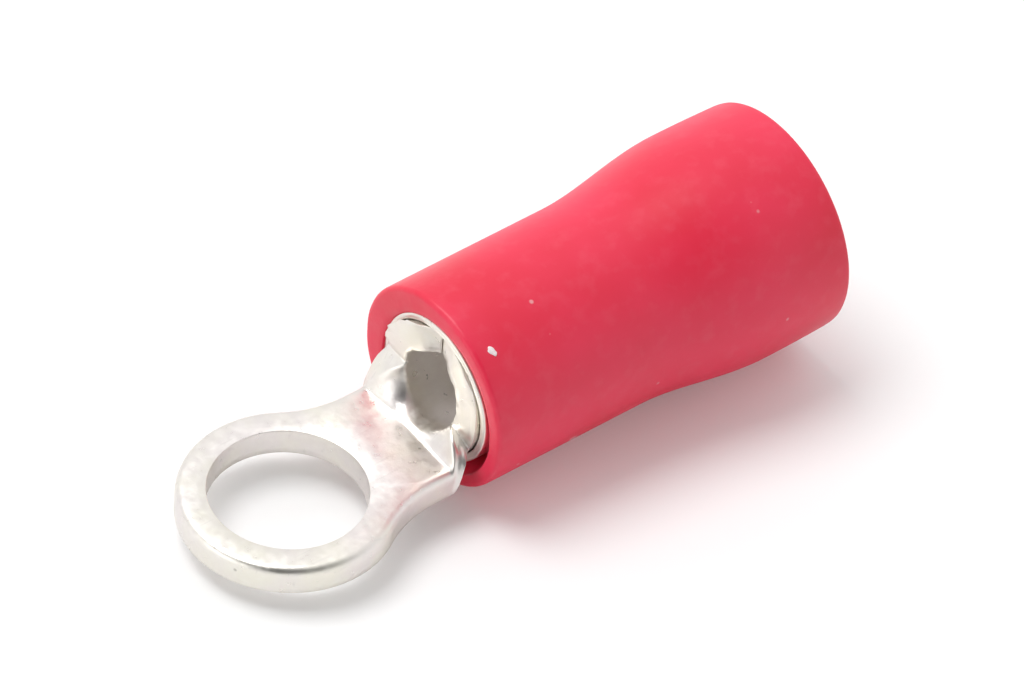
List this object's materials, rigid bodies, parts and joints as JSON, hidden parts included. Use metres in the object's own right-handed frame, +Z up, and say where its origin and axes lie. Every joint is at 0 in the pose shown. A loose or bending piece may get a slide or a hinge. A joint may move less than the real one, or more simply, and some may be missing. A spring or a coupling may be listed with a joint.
{
  "type": "ring terminal",
  "caption": "Insulated crimp ring terminal: flat ring tongue with a stud hole, rolled wire barrel and a flared red insulating sleeve.",
  "frame": {"origin": "centre of the stud hole on the underside of the tongue", "axes": "+Z up along the stud hole's axis, +X along the barrel towards the end where the wire enters"},
  "size_m": [0.0165, 0.0058, 0.0057],
  "materials": {
    "tinned_copper": "satin electro-tinned copper",
    "plated_sleeve": "satin, plated thin metal",
    "red_vinyl": "satin soft vinyl"
  },
  "bodies": {
    "root": {"terminal_body": "tinned_copper", "support_sleeve": "plated_sleeve", "insulating_sleeve": "red_vinyl"}
  },
  "joints": []
}
